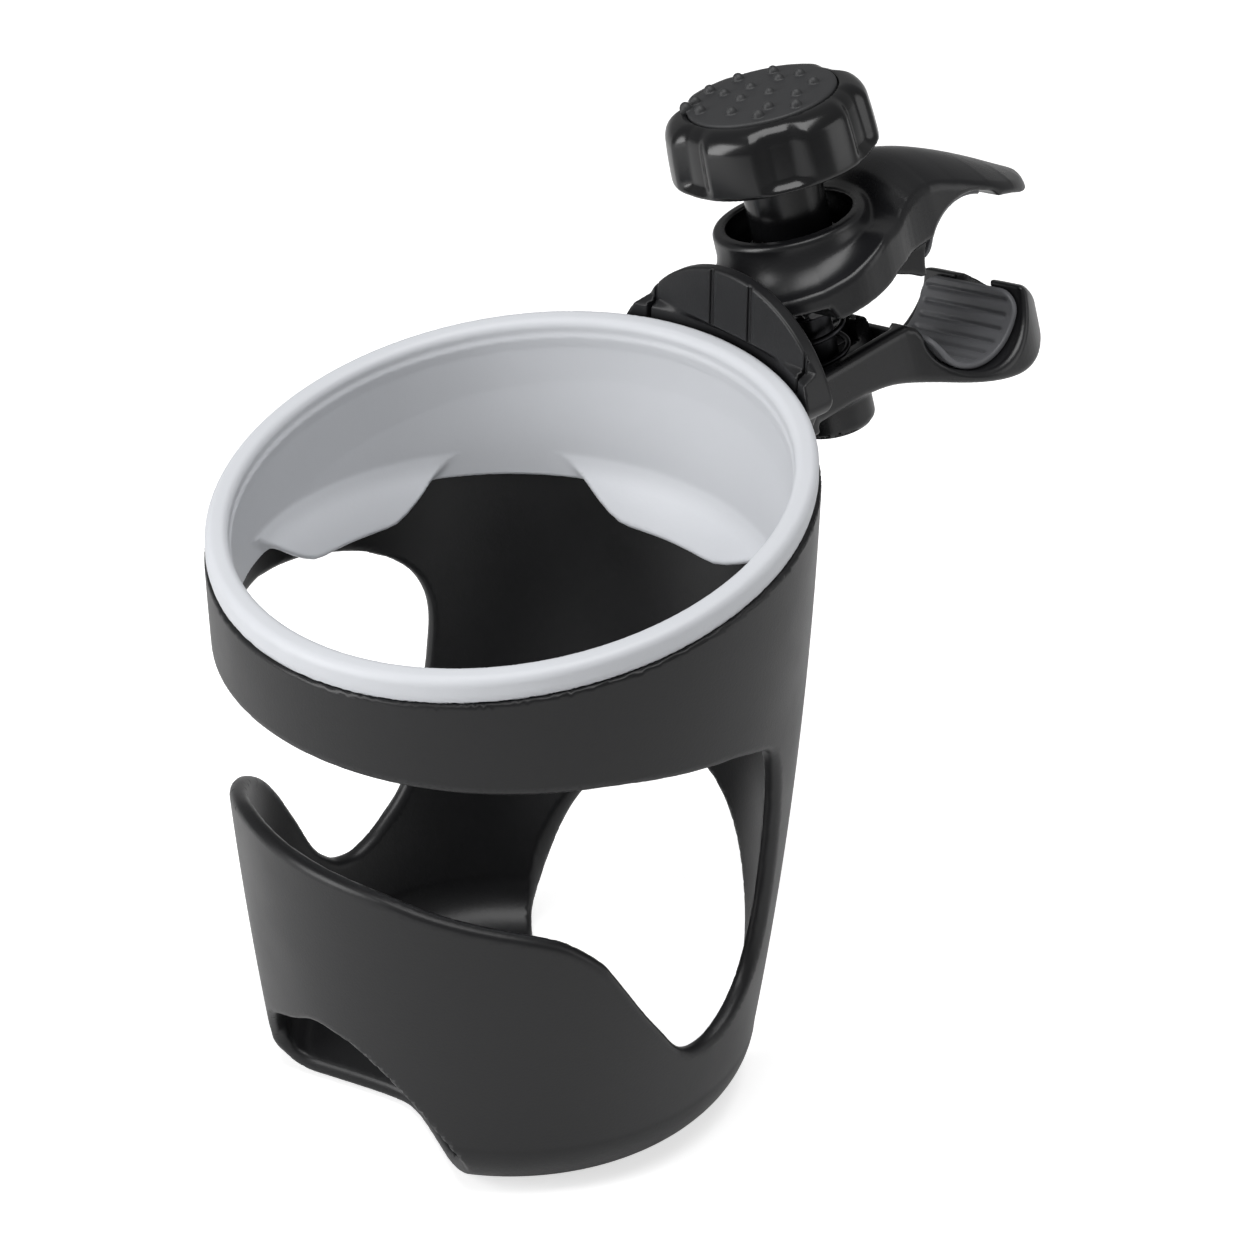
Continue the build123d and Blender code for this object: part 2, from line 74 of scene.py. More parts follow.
# ---------------------------------------------------------------- frames: (origin, axes as rows)
PITCH, ROLL = math.radians(7.0), math.radians(12.4)
ALONG = np.array([math.cos(PITCH), 0.0, math.sin(PITCH)])
UNROLLED_UP = np.array([-math.sin(PITCH), 0.0, math.cos(PITCH)])
ACROSS = np.array([0.0, -1.0, 0.0]) * math.cos(ROLL) + UNROLLED_UP * math.sin(ROLL)
CLAMP = (np.array([50.0, 1.5, 99.7]), np.stack([ALONG, np.cross(ACROSS, ALONG), ACROSS]))
CUP = (np.zeros(3), np.eye(3))
SWIVEL_Z = 100.0  # the swivel axis runs along x at y = 0


def to_cup(p, place):
    return place[0] + p @ place[1]


def swivel_radius(y, z):
    return np.hypot(y, z - SWIVEL_Z)


# ---------------------------------------------------------------- combining fields
def both(*fields):
    """Sharp intersection."""
    return reduce(np.maximum, fields)


def bore(body, tool):
    """Sharp subtraction."""
    return np.maximum(body, -tool)


def meet(a, b, edge):
    """Intersection with an edge radius."""
    outside = np.hypot(np.maximum(a + edge, 0), np.maximum(b + edge, 0))
    return np.minimum(np.maximum(a, b) + edge, 0) + outside - edge


def cut(body, tool, edge):
    """Subtraction with an edge radius."""
    return meet(body, -tool, edge)


def fuse(a, b, width):
    """Union with a fillet."""
    h = np.maximum(width - np.abs(a - b), 0) / width
    return np.minimum(a, b) - h * h * width * 0.25


def ease(value, start, end):
    """Smooth rise from 0 at start to 1 at end."""
    t = np.clip((value - start) / (end - start), 0, 1)
    return t * t * (3 - 2 * t)


def fade(value, full, gone):
    """Smooth fall from 1 at full to 0 at gone."""
    return ease(-value, -gone, -full)


def slab(value, centre, half):
    return np.abs(value - centre) - half


def band(value, low, high):
    return slab(value, (low + high) / 2, (high - low) / 2)


def box(a, b, half_a, half_b, corner):
    """Rectangle with rounded corners."""
    qa, qb = np.abs(a) - half_a + corner, np.abs(b) - half_b + corner
    outside = np.hypot(np.maximum(qa, 0), np.maximum(qb, 0))
    return outside + np.minimum(np.maximum(qa, qb), 0) - corner


# ---------------------------------------------------------------- outlines
def spline(points, steps):
    """Open Catmull-Rom curve through the points."""
    p = np.asarray(points, float)
    padded = [p[0], *p, p[-1]]
    curve = []
    for i in range(len(p) - 1):
        a, b, c, d = padded[i:i + 4]
        for j in range(steps):
            t = j / steps
            curve.append(0.5 * (2 * b + (c - a) * t + (2 * a - 5 * b + 4 * c - d) * t * t
                                + (3 * b - a - 3 * c + d) * t ** 3))
    return np.array([*curve, p[-1]])


def arc(centre, radius, start, end):
    """Points on an arc, angles in degrees."""
    angles = [math.radians(start + (end - start) * i / 30) for i in range(31)]
    return [(centre[0] + radius * math.cos(a), centre[1] + radius * math.sin(a)) for a in angles]


def mirror(curve):
    """The curve walked back on the other side of its first axis."""
    return curve[::-1] * (1, -1)


def polygon_distance(x, y, points):
    nearest = np.full(x.shape, 1e18)
    sign = np.ones(x.shape)
    for i in range(len(points)):
        a, b = points[i], points[i - 1]
        ex, ey = b - a
        if ex * ex + ey * ey < 1e-12:
            continue
        wx, wy = x - a[0], y - a[1]
        t = np.clip((wx * ex + wy * ey) / (ex * ex + ey * ey), 0, 1)
        dx, dy = wx - ex * t, wy - ey * t
        nearest = np.minimum(nearest, dx * dx + dy * dy)
        c1, c2, c3 = y >= a[1], y < b[1], ex * wy > ey * wx
        sign = np.where((c1 & c2 & c3) | (~c1 & ~c2 & ~c3), -sign, sign)
    return sign * np.sqrt(nearest)


class Outline:
    """Signed distance to a closed outline, tabulated, softened and read back smoothly."""

    MARGIN = 9.0

    def __init__(self, points, pitch, soften):
        points = np.asarray(points, float)
        self.low = points.min(0) - self.MARGIN
        self.pitch = pitch
        n = np.ceil((points.max(0) + self.MARGIN - self.low) / pitch).astype(int) + 1
        axes = [self.low[i] + pitch * np.arange(n[i]) for i in range(2)]
        g = polygon_distance(*np.meshgrid(*axes, indexing="ij"), points)
        for _ in range(soften):
            g[1:-1] = 0.25 * g[:-2] + 0.5 * g[1:-1] + 0.25 * g[2:]
            g[:, 1:-1] = 0.25 * g[:, :-2] + 0.5 * g[:, 1:-1] + 0.25 * g[:, 2:]
        self.grid = g

    def __call__(self, x, y):
        g = self.grid
        fx = (x - self.low[0]) / self.pitch
        fy = (y - self.low[1]) / self.pitch
        cx = np.clip(fx, 0, g.shape[0] - 1.001)
        cy = np.clip(fy, 0, g.shape[1] - 1.001)
        i, j = cx.astype(int), cy.astype(int)
        u, v = cx - i, cy - j
        inside = ((g[i, j] * (1 - u) + g[i + 1, j] * u) * (1 - v)
                  + (g[i, j + 1] * (1 - u) + g[i + 1, j + 1] * u) * v)
        return inside + np.hypot(fx - cx, fy - cy) * self.pitch


# ---------------------------------------------------------------- meshing
BLOCK = 4  # cells along a block of the coarse pass
REACH = 0.87 * 1.7  # block half diagonal per side, times a safety factor
CHUNK = 400000  # points sampled at once


def grid_points(axes):
    return np.stack(np.meshgrid(*axes, indexing="ij"), -1).reshape(-1, 3)


def surface_net(field, low, high, cell):
    """Closed quad mesh of field = 0 between two corners, by surface nets."""
    low, high = np.asarray(low, float), np.asarray(high, float)
    blocks = np.ceil((high - low) / (cell * BLOCK)).astype(int)
    size = blocks * BLOCK

    # sample finely only in the blocks the surface may cross
    middles = [low[a] + cell * (BLOCK * np.arange(blocks[a]) + (BLOCK - 1) / 2)
               for a in range(3)]
    coarse = field(grid_points(middles))
    values = np.sign(coarse).reshape(blocks) * 9.0
    for axis in range(3):
        values = np.repeat(values, BLOCK, axis)
    crossed = np.nonzero(np.abs(coarse) < cell * BLOCK * REACH)[0]
    starts = np.stack(np.unravel_index(crossed, blocks), -1) * BLOCK
    samples = (starts[:, None] + grid_points([np.arange(BLOCK)] * 3)[None]).reshape(-1, 3)
    for s in range(0, len(samples), CHUNK):
        q = samples[s:s + CHUNK]
        values[q[:, 0], q[:, 1], q[:, 2]] = field(low + cell * q)
    values[values == 0] = 1e-9

    # one vertex in each cell the surface crosses, at the mean of its edge crossings
    inside = values < 0
    count = np.zeros(tuple(size - 1), np.int8)
    corners = grid_points([np.arange(2)] * 3)
    for a, b, c in corners:
        count += inside[a:size[0] - 1 + a, b:size[1] - 1 + b, c:size[2] - 1 + c]
    active = np.stack(np.nonzero((count > 0) & (count < 8)), -1)
    ids = np.full(tuple(size - 1), -1, int)
    ids[tuple(active.T)] = np.arange(len(active))
    total = np.zeros((len(active), 3))
    crossings = np.zeros(len(active))
    for i, start in enumerate(corners):
        for end in corners[i + 1:]:
            if np.abs(start - end).sum() != 1:
                continue
            va = values[tuple((active + start).T)]
            vb = values[tuple((active + end).T)]
            hit = (va < 0) != (vb < 0)
            t = np.where(hit, va / np.where(hit, va - vb, 1), 0)[:, None]
            total += np.where(hit[:, None], start + t * (end - start), 0)
            crossings += hit
    verts = low + cell * (active + total / crossings[:, None])

    # one quad round each grid edge whose ends differ
    quads = []
    for axis in range(3):
        first = [slice(1, size[k] - 1) for k in range(3)]
        second = list(first)
        first[axis], second[axis] = slice(0, size[axis] - 1), slice(1, size[axis])
        solid = inside[tuple(first)]
        base = np.stack(np.nonzero(solid != inside[tuple(second)]), -1)
        outward = solid[tuple(base.T)]
        base += 1
        base[:, axis] -= 1
        e1, e2 = np.eye(3, dtype=int)[[(axis + 1) % 3, (axis + 2) % 3]]
        ring = [base - e1 - e2, base - e2, base, base - e1]
        quad = np.stack([ids[tuple(cells.T)] for cells in ring], -1)
        quad[~outward] = quad[~outward][:, ::-1]
        quads.append(quad)
    quads = np.concatenate(quads)
    return verts, quads[(quads >= 0).all(1)]


def gradient(field, verts, reach):
    slope = np.empty_like(verts)
    for k in range(3):
        d = np.zeros(3)
        d[k] = reach
        slope[:, k] = (field(verts + d) - field(verts - d)) / (2 * reach)
    return slope


def project(field, verts, cell, rounds):
    """Move the vertices onto the surface, at most 0.6 of a cell a round."""
    for _ in range(rounds):
        g = gradient(field, verts, 0.05)
        move = -field(verts)[:, None] * g / np.maximum((g * g).sum(1, keepdims=True), 0.05)
        length = np.linalg.norm(move, axis=1, keepdims=True)
        verts = verts + move * np.minimum(1, 0.6 * cell / np.maximum(length, 1e-9))
    return verts


def relax(field, verts, quads, cell):
    """Even out the vertex spacing while staying on the surface."""
    edges = np.concatenate([quads[:, [i, (i + 1) % 4]] for i in range(4)])
    a, b = edges[:, 0], edges[:, 1]
    n = len(verts)
    neighbours = np.bincount(a, minlength=n) + np.bincount(b, minlength=n)
    for _ in range(2):
        total = np.zeros_like(verts)
        for k in range(3):
            total[:, k] = np.bincount(a, verts[b, k], n) + np.bincount(b, verts[a, k], n)
        verts = 0.5 * verts + 0.5 * total / np.maximum(neighbours, 1)[:, None]
        verts = project(field, verts, cell, 1)
    return project(field, verts, cell, 2)


def field_object(name, field, low, high, cell, place):
    """Mesh a field, with shading normals taken from its gradient."""
    verts, quads = surface_net(field, low, high, cell)
    verts = relax(field, verts, quads, cell)
    normals = gradient(field, verts, 0.12)
    normals /= np.maximum(np.linalg.norm(normals, axis=1, keepdims=True), 1e-9)
    normals = normals @ place[1]
    metres = to_cup(verts, place) / 1000.0
    mesh = bpy.data.meshes.new(name)
    mesh.vertices.add(len(metres))
    mesh.vertices.foreach_set("co", metres.ravel())
    mesh.loops.add(len(quads) * 4)
    mesh.loops.foreach_set("vertex_index", quads.ravel().astype(np.int32))
    mesh.polygons.add(len(quads))
    mesh.polygons.foreach_set("loop_start", np.arange(0, len(quads) * 4, 4, dtype=np.int32))
    mesh.update(calc_edges=True)
    mesh.validate()
    mesh.shade_smooth()
    mesh.normals_split_custom_set_from_vertices([tuple(v) for v in normals])
    return link(name, mesh)


def link(name, data):
    ob = bpy.data.objects.new(name, data)
    scene.collection.objects.link(ob)
    return ob


# ---------------------------------------------------------------- cup shell
WALL = 2.8
WINDOW_SCALE = 0.75  # mm of wall for a degree of azimuth
OPENING_EDGE = 1.25


def wall_radius(z):
    """Outer radius of the tapering wall."""
    u = 1 - z / 100.0
    return 45.0 - 1.83 * u - 6.60 * u * u


def over_seam(x, z):
    """Height above the slanting seam between shell and liner."""
    return (z - (98.1 + 0.183 * x)) / 1.0166


# side windows: (degrees from +x, z)
WINDOW_NEAR = [
    (180, 56.0), (166, 55.8), (157, 55.2), (150, 54.1), (143, 53.1), (136, 52.1), (129, 51.0),
    (122, 49.3), (117.2, 47.0), (112.6, 43.9), (110.1, 41.3), (107.5, 38.3), (101.8, 31.9),
    (97.1, 27.3), (94.0, 24.3), (91.0, 22.2), (88.0, 21.1), (84.5, 20.7), (80.5, 21.0),
    (76.0, 22.2), (71.8, 24.1), (67.8, 26.9), (65.0, 30.6), (63.4, 35.5), (63.2, 42.0),
    (63.9, 49.0), (65.2, 56.0), (67.0, 62.0), (69.0, 66.4), (71.4, 69.2), (75.0, 71.0),
    (80.0, 72.4), (84.0, 73.4), (90.0, 74.2), (97.0, 75.0), (103.5, 75.7), (112.0, 76.4),
    (122.0, 76.6), (180.0, 76.6)]
WINDOW_FAR = [
    (180, 56.0), (166, 55.8), (157, 55.2), (150, 53.9), (143, 52.2), (136, 50.2), (129, 47.6),
    (122, 43.9), (116, 38.9), (110, 32.0), (104, 24.4), (98, 20.4), (94, 19.3), (90.5, 19.2),
    (87.3, 19.9), (84.0, 21.2), (80.6, 23.2), (77.2, 25.6), (74.2, 29.0), (71.2, 36.0),
    (68.6, 44.0), (67.0, 52.0), (66.6, 57.3), (67.6, 61.2), (70.0, 64.6), (73.6, 67.2),
    (78.0, 69.2), (84.0, 71.2), (93.4, 73.2), (101.0, 74.6), (112.0, 76.0), (122.0, 76.5),
    (180.0, 76.6)]
# arches in the foot, one side each: (distance from y = 0, z)
FRONT_FAR = [
    (0, 25.3), (2.1, 24.4), (5.8, 22.2), (9.0, 20.5), (12.1, 18.7), (15.0, 16.4), (17.5, 13.4),
    (19.6, 9.6), (21.6, 5.4), (23.2, 2.2), (25.0, 0.0), (27, -1.8)]
FRONT_NEAR = [
    (0, 25.3), (2.6, 25.6), (7.1, 24.9), (9.6, 23.6), (12.5, 21.4), (15.0, 18.6), (17.2, 15.6),
    (19.2, 12.0), (21.2, 8.2), (23.1, 4.3), (24.6, 1.1), (27, -1.8)]
REAR_FAR = [
    (0, 38.2), (5, 37.7), (9, 36.3), (13, 33.6), (16.5, 30.2), (19.5, 26.0), (21.8, 20.7),
    (23.3, 14.2), (24.2, 8.0), (24.8, 2.6), (27, -1.0)]
REAR_NEAR = [
    (0, 38.2), (3, 37.3), (6, 35.8), (8.8, 33.9), (12.8, 30.2), (16.6, 25.2), (19.5, 20.4),
    (21.0, 16.0), (22.2, 10.0), (23.2, 4.0), (25, -1.0)]


def window(points):
    """Window outline, carried past the front so that both sides join."""
    edge = spline([(angle * WINDOW_SCALE, z) for angle, z in points], 5)
    past = 205 * WINDOW_SCALE
    return Outline([(past, 56.0), *edge, (past, 76.6)], 0.2, soften=3)


def arch(far, near):
    """Arch outline, closed below the foot."""
    edge = [(-y, z) for y, z in reversed(near[1:])] + far
    return Outline([(edge[0][0], -9), *spline(edge, 4), (edge[-1][0], -9)], 0.2, soften=3)


def wall_profile(foot_centre, foot_radius, wall_start):
    """Section (radius, z) of floor, rounded foot and wall, run past the axis."""
    def foot(radius, angles):
        return [(foot_centre + radius * math.sin(math.radians(a)),
                 foot_radius - radius * math.cos(math.radians(a))) for a in angles]

    outer = [(wall_radius(z), z) for z in np.arange(wall_start, 121, 3.0)]
    inner = [(wall_radius(z) - WALL, z) for z in np.arange(120, wall_start - 1, -3.0)]
    section = [(-30, 0), *foot(foot_radius, range(0, 91, 6)), *outer, *inner,
               *foot(foot_radius - WALL, range(90, -1, -6)), (-30, WALL)]
    return Outline(section, 0.2, soften=1)


NEAR_WINDOW, FAR_WINDOW = window(WINDOW_NEAR), window(WINDOW_FAR)
FRONT_ARCH, REAR_ARCH = arch(FRONT_FAR, FRONT_NEAR), arch(REAR_FAR, REAR_NEAR)
WIDE_FOOT = wall_profile(28.0, 10, 12)
TIGHT_FOOT = wall_profile(wall_radius(6.5) - 6.5, 6.5, 8)


def shell_field(p):
    x, y, z = p.T
    radius = np.hypot(x, y)
    # the foot's rounding is tighter on the far side of the front arch
    tight = fade(np.abs(np.degrees(np.arctan2(y, x)) - 138), 14, 38)
    d = WIDE_FOOT(radius, z) * (1 - tight) + TIGHT_FOOT(radius, z) * tight
    d = meet(d, over_seam(x, z), 0.4)
    around = np.degrees(np.arctan2(np.abs(y), x)) * WINDOW_SCALE
    windows = np.where(y < 0, NEAR_WINDOW(around, z), FAR_WINDOW(around, z))
    windows = np.where(radius < 24, 9.0, windows)  # none near the axis
    front_x = 20.2 + 0.39 * np.sqrt(y * y + 12)
    rear_x = 14.5 + np.where(y > 0, 0.0195, 0.009) * y * y
    front = meet(FRONT_ARCH(y, z), x + front_x, 2.0)
    rear = meet(REAR_ARCH(y, z), rear_x - x, 2.0)
    for opening in (windows, front, rear):
        d = cut(d, opening, OPENING_EDGE)
    return bore(d, both(swivel_radius(y, z) - 5.25, 30 - x))


# ---------------------------------------------------------------- grip liner
BEAD_RADIUS = 42.85
FLAP_ROOT, FLAP_TIP = np.array([40.85, 84.3]), np.array([36.35, 76.9])  # (radius, z)
# rows: degrees from the flap's middle, share of its full length
FLAP_REACH = ([0, 6, 10, 13, 16, 19, 21.5, 24, 26, 28, 45],
              [1.0, 1.0, 0.99, 0.95, 0.83, 0.66, 0.48, 0.28, 0.12, -0.05, -0.9])


def flaps(x, y, z):
    """Four bowed flaps leaning in and down, one each way along x and y."""
    azimuth = np.degrees(np.arctan2(y, x))
    q = (azimuth + 45) % 90 - 45
    # the +x flap is centred at 8 degrees and wider on its -y side
    rear = np.where(q > 8, q - 8, (8 - q) * 0.75)
    q = np.where(np.abs(azimuth) < 45, rear, np.abs(q))
    lean = FLAP_TIP - FLAP_ROOT
    length = np.hypot(*lean)
    dr, dz = np.hypot(x, y) - FLAP_ROOT[0], z - FLAP_ROOT[1]
    down = (dr * lean[0] + dz * lean[1]) / length
    off = (-dr * lean[1] + dz * lean[0]) / length
    bow = 0.3 * np.sin(np.pi * np.clip(down / length, 0, 1))
    edge = (down - length * np.interp(q, *FLAP_REACH)) * 0.75
    return meet(np.abs(off + bow) - 0.55, both(edge, -down - 0.3), 0.45)


def liner_field(p):
    x, y, z = p.T
    radius = np.hypot(x, y)
    over = over_seam(x, z)
    bead = box(radius - BEAD_RADIUS, over - 2.02, 1.75, 1.95, 1.25)
    # the bead's foot is square where it sits on the shell
    foot = box(radius - BEAD_RADIUS, over - 1.0, 1.55, 0.93, 0.3)
    outer = wall_radius(z) - WALL - 0.15
    inner = np.minimum(40.2 + 0.9 * ease(over, -17, -1), outer - 1.12)
    skirt = meet(band(radius, inner, outer), both(81.4 - z, over - 1.5), 0.35)
    return fuse(fuse(fuse(bead, foot, 0.3), skirt, 0.8), flaps(x, y, z), 1.4)


# ---------------------------------------------------------------- swivel bracket of the cup
# edge of the plate, one side: (distance from y = 0, z)
PLATE_EDGE = [(0, 81.5), (9, 82), (13.4, 84.6), (15.4, 88.5), (15.6, 100.0), (17.0, 103.6),
              (20.0, 106.0), (26, 107.5)]
PLATE = Outline([(26, 125), (-26, 125)] + [(-y, z) for y, z in PLATE_EDGE[::-1]]
                + PLATE_EDGE[1:], 0.15, soften=2)
PLATE_SCREWS = (10.5, -10.5)  # y
PLATE_SCREW_Z = 87.0
PLATE_SLOTS = (16.0, 4.0, -4.0, -16.0)  # y


def bracket_field(p):
    x, y, z = p.T
    rho = swivel_radius(y, z)
    d = meet(rho - 21.3, PLATE(y, z), 1.6)
    d = meet(d, x - 46.6, 1.1)
    # the back follows the cup wall, and is nearly flat above it
    back = 43.9 + 0.3 * np.maximum(np.abs(y) - 16.5, 0)
    wall = wall_radius(z) + 0.1 - np.hypot(x, y)
    t = ease(z, 110.6, 111.8)
    d = meet(d, wall * (1 - t) + (back - x) * t, 0.4)
    boss = meet(rho - 5.0, slab(x, 44.4, 1.8), 0.2)
    d = cut(np.minimum(d, boss), both(rho - 4.35, x - 45.0), 0.12)
    d = bore(d, rho - 4.05)
    for screw_y in PLATE_SCREWS:
        r = np.hypot(y - screw_y, z - PLATE_SCREW_Z)
        d = bore(d, np.minimum(r - 1.45, both(r - 2.9, 44.6 - x)))
    for slot_y in PLATE_SLOTS:
        d = bore(d, both(slab(y, slot_y, 0.3), x - (back + 0.35), 108.0 - z))
    return d


# ---------------------------------------------------------------- clamp: shared sizes
# places are (along, up)
PIN = (1.8, 9.6)
SCREW = 15.0  # along; the screw's axis is at across = 0
SEAT = (38.8, -2.5)
SEAT_RADIUS = 9.7
CLAW = (40.4, 7.2)
CLAW_RADIUS = 9.3
PAD_HALF_WIDTH = 10.5


def pad_patch(angle, across, middle, half, radius, corner):
    """Rounded rectangle wrapped on a cylinder, angles in degrees."""
    scale = math.radians(1) * radius
    return box((angle - middle) * scale, across, half * scale, PAD_HALF_WIDTH, corner)


# ---------------------------------------------------------------- lower jaw
# underside from tip to root: (along, up)
LOWER_UNDERSIDE = spline(
    [(58.0, -11.6), (56.8, -13.3), (53.6, -14.9), (48.6, -15.8), (43.0, -15.6), (36.0, -13.8),
     (29.0, -11.2), (22.0, -8.6), (16.0, -7.6)], 4)
LOWER_SIDE = Outline(
    [(0.2, -0.4), (26.8, -0.4), (28.4, -1.5), *arc(SEAT, SEAT_RADIUS, 183, 357), (49.4, -3.2),
     (50.8, -4.0), (53.6, -6.4), (56.0, -8.9), (57.5, -10.9), *LOWER_UNDERSIDE, (0.2, -7.6)],
    0.15, soften=2)
# far edge from root to tip: (along, across)
LOWER_EDGE = spline(
    [(20, -8.0), (26.0, -8.2), (29.5, -9.3), (33, -11.3), (37, -12.9), (41, -13.4),
     (45, -13.0), (49, -11.4), (53, -8.4), (56, -5.0), (57.8, -2.0), (58.1, 0)], 4)
LOWER_PLAN = Outline([(-2.5, -8.0), *LOWER_EDGE, *mirror(LOWER_EDGE), (-2.5, 8.0)],
                     0.15, soften=2)
# hinge ear: (along, up)
EAR = Outline([(-2.0, -9.0), (5.6, -9.0), (5.6, 9.6), (4.9, 11.2), (3.2, 12.3), (0.9, 12.3),
               (-0.6, 11.6), (-1.6, 10.0)], 0.15, soften=1)


def lower_jaw_field(p):
    along, up, across = p.T
    x, y, z = to_cup(p, CLAMP).T
    rho = swivel_radius(y, z)
    screw_r = np.hypot(along - SCREW, across)
    d = meet(LOWER_SIDE(along, up), LOWER_PLAN(along, across), 1.3)
    nut_boss = meet(screw_r - 6.5, slab(up, -9.0, 4.0), 1.2)
    d = fuse(d, nut_boss, 0.9)
    ears = meet(EAR(along, up), slab(across, 0, 8.0), 0.9)
    ears = cut(ears, both(slab(across, 0, 5.62), 5.6 - up), 0.35)
    d = fuse(d, ears, 0.8)
    channel = both(box(along - 16.2, across, 9.8, 5.4, 1.5), -4.4 - up)
    d = cut(d, channel, 0.8)
    # swivel flange and its spigot
    flange = meet(rho - 5.6, slab(x, 50.2, 3.1), 0.5)
    d = meet(fuse(d, flange, 1.0), 47.12 - x, 0.4)
    d = np.minimum(d, both(rho - 4.0, slab(x, 46.6, 1.3)))
    # screw bore, hexagonal nut pocket and its round mouth
    d = bore(d, screw_r - 3.5)
    angle = np.arctan2(across, along - SCREW)
    flats = [np.abs(np.cos(angle - math.radians(60 * i)) * screw_r) for i in range(3)]
    d = bore(d, both(both(*flats) - 5.05, up + 6.4))
    d = bore(d, both(screw_r - 5.9, up + 11.6))
    # pin and swivel bores
    d = bore(d, np.hypot(along - PIN[0], up - PIN[1]) - 1.52)
    return bore(d, np.minimum(rho - 2.05, both(rho - 4.4, 53.6 - x)))


def lower_pad_field(p):
    along, up, across = p.T
    radius = np.hypot(along - SEAT[0], up - SEAT[1])
    angle = np.degrees(np.arctan2(up - SEAT[1], along - SEAT[0])) % 360
    angle = np.where(angle < 90, angle + 360, angle)
    # grooves across the pad every 15.5 degrees, fading near its edges
    wave = 0.5 + 0.5 * np.cos(np.radians((angle - 342) * 360 / 15.5))
    groove = (0.5 * wave ** 3 * fade(np.abs(across), 8.2, 9.6)
              * fade(np.abs(angle - 270), 76, 80))
    patch = pad_patch(angle, across, middle=270, half=83, radius=9.0, corner=3.6)
    return meet(band(radius, 8.52 + groove, 9.58), patch, 0.35)


# ---------------------------------------------------------------- upper jaw
# stations of the top: along, its height, and how far it drops to the sides
TOP_ALONG = [-1, 1.6, 7, 14, 20, 24, 27, 30, 34, 39, 45, 51, 57, 60.5, 63]
TOP_UP = [14.6, 15.6, 16.0, 16.9, 18.9, 21.0, 23.0, 24.5, 25.0, 23.5, 20.6, 17.1, 13.2, 10.9, 9.0]
TOP_DROP = [0.2, 0.4, 0.6, 0.8, 1.2, 1.9, 2.8, 3.7, 4.4, 4.5, 4.2, 3.6, 2.4, 1.4, 1.0]
TOP_LINE = spline(list(zip(TOP_ALONG, TOP_UP)), 6).T
# side view, left open above for the top to trim: (along, up)
UPPER_SIDE = Outline(
    [(-0.2, 12.6), (-0.2, 30), (66, 30), (66, 9.0), (61.2, 9.1), (59.8, 8.7), (57.5, 9.0),
     (55.0, 10.0), (51.6, 11.6), (49.2, 12.5), *arc(CLAW, CLAW_RADIUS, 38, 176), (31.0, 6.4),
     (30.2, 6.7), (28.6, 7.7), (25.2, 9.2), (24.0, 9.3), (13.0, 7.9), (8.6, 8.6), (6.8, 12.6)],
    0.15, soften=2)
# plan edges from root to tip: (along, across)
UPPER_EDGE = spline(
    [(-0.4, -6.0), (0.6, -7.1), (4, -7.4), (10, -7.9), (17, -8.5), (24, -9.2), (30, -10.1),
     (36, -11.2), (42, -11.9), (47, -11.7), (52, -10.3), (56.5, -7.6), (59.8, -4.0),
     (61.2, -1.2), (61.3, 0)], 4)
UPPER_PLAN = Outline([*UPPER_EDGE, *mirror(UPPER_EDGE)], 0.15, soften=2)
SKIRT_NEAR = spline(  # mirrored to +across
    [(-0.4, -7.6), (0.6, -9.4), (3.0, -12.2), (7, -15.0), (11.5, -16.9), (17.0, -17.1),
     (22, -15.4), (27.5, -12.9), (34, -11.4), (40, -11.2), (46, -10.6), (46, 0)], 4)
SKIRT_FAR = spline(
    [(-0.4, -7.4), (1.2, -8.2), (4.0, -9.2), (8, -10.9), (12.5, -12.2), (17.0, -12.8),
     (22, -13.0), (27.5, -12.2), (34, -11.3), (40, -11.2), (46, -10.6), (46, 0)], 4)
SKIRT_PLAN = Outline([*SKIRT_FAR, *mirror(SKIRT_NEAR)], 0.15, soften=2)
# rows: along, half width of the top
TOP_HALF_WIDTH = ([-1, 4, 14, 20, 24, 28, 34, 40, 46, 52, 57, 61],
                  [10, 14, 17, 16.4, 14.4, 12.4, 11.4, 11.7, 11.8, 10.3, 7.4, 3.5])
# rows: degrees round the screw from +along, height of the skirt's top at the collar
SKIRT_TOP = ([0, 30, 45, 60, 75, 90, 105, 120, 140, 180],
             [24.0, 23.6, 22.4, 21.0, 19.4, 18.0, 16.6, 15.6, 15.2, 15.0])
# rows: along, underside of the skirt
SKIRT_FLOOR = ([2, 8, 14, 20, 26, 34], [10.0, 10.2, 11.2, 12.4, 12.8, 12.2])


def upper_top(along, across, screw_r):
    """Height of the crowned top, with the skirt flaring round the collar on the near side."""
    q = np.clip(np.abs(across) / np.interp(along, *TOP_HALF_WIDTH), 0, 1.25)
    crown = np.interp(along, *TOP_LINE) - np.interp(along, TOP_ALONG, TOP_DROP) * q ** 2
    angle = np.degrees(np.arctan2(np.abs(across), along - SCREW))
    collar = np.interp(angle, *SKIRT_TOP)
    inward = np.clip((17.2 - screw_r) / 5.3, 0, 1.1)
    flare = collar + (20.0 - collar) * inward ** 2.4
    near = fade(screw_r, 17.0, 21.0) * fade(along, 18.0, 25.0) * ease(across, -11.0, -3.0)
    return crown * (1 - near) + flare * near


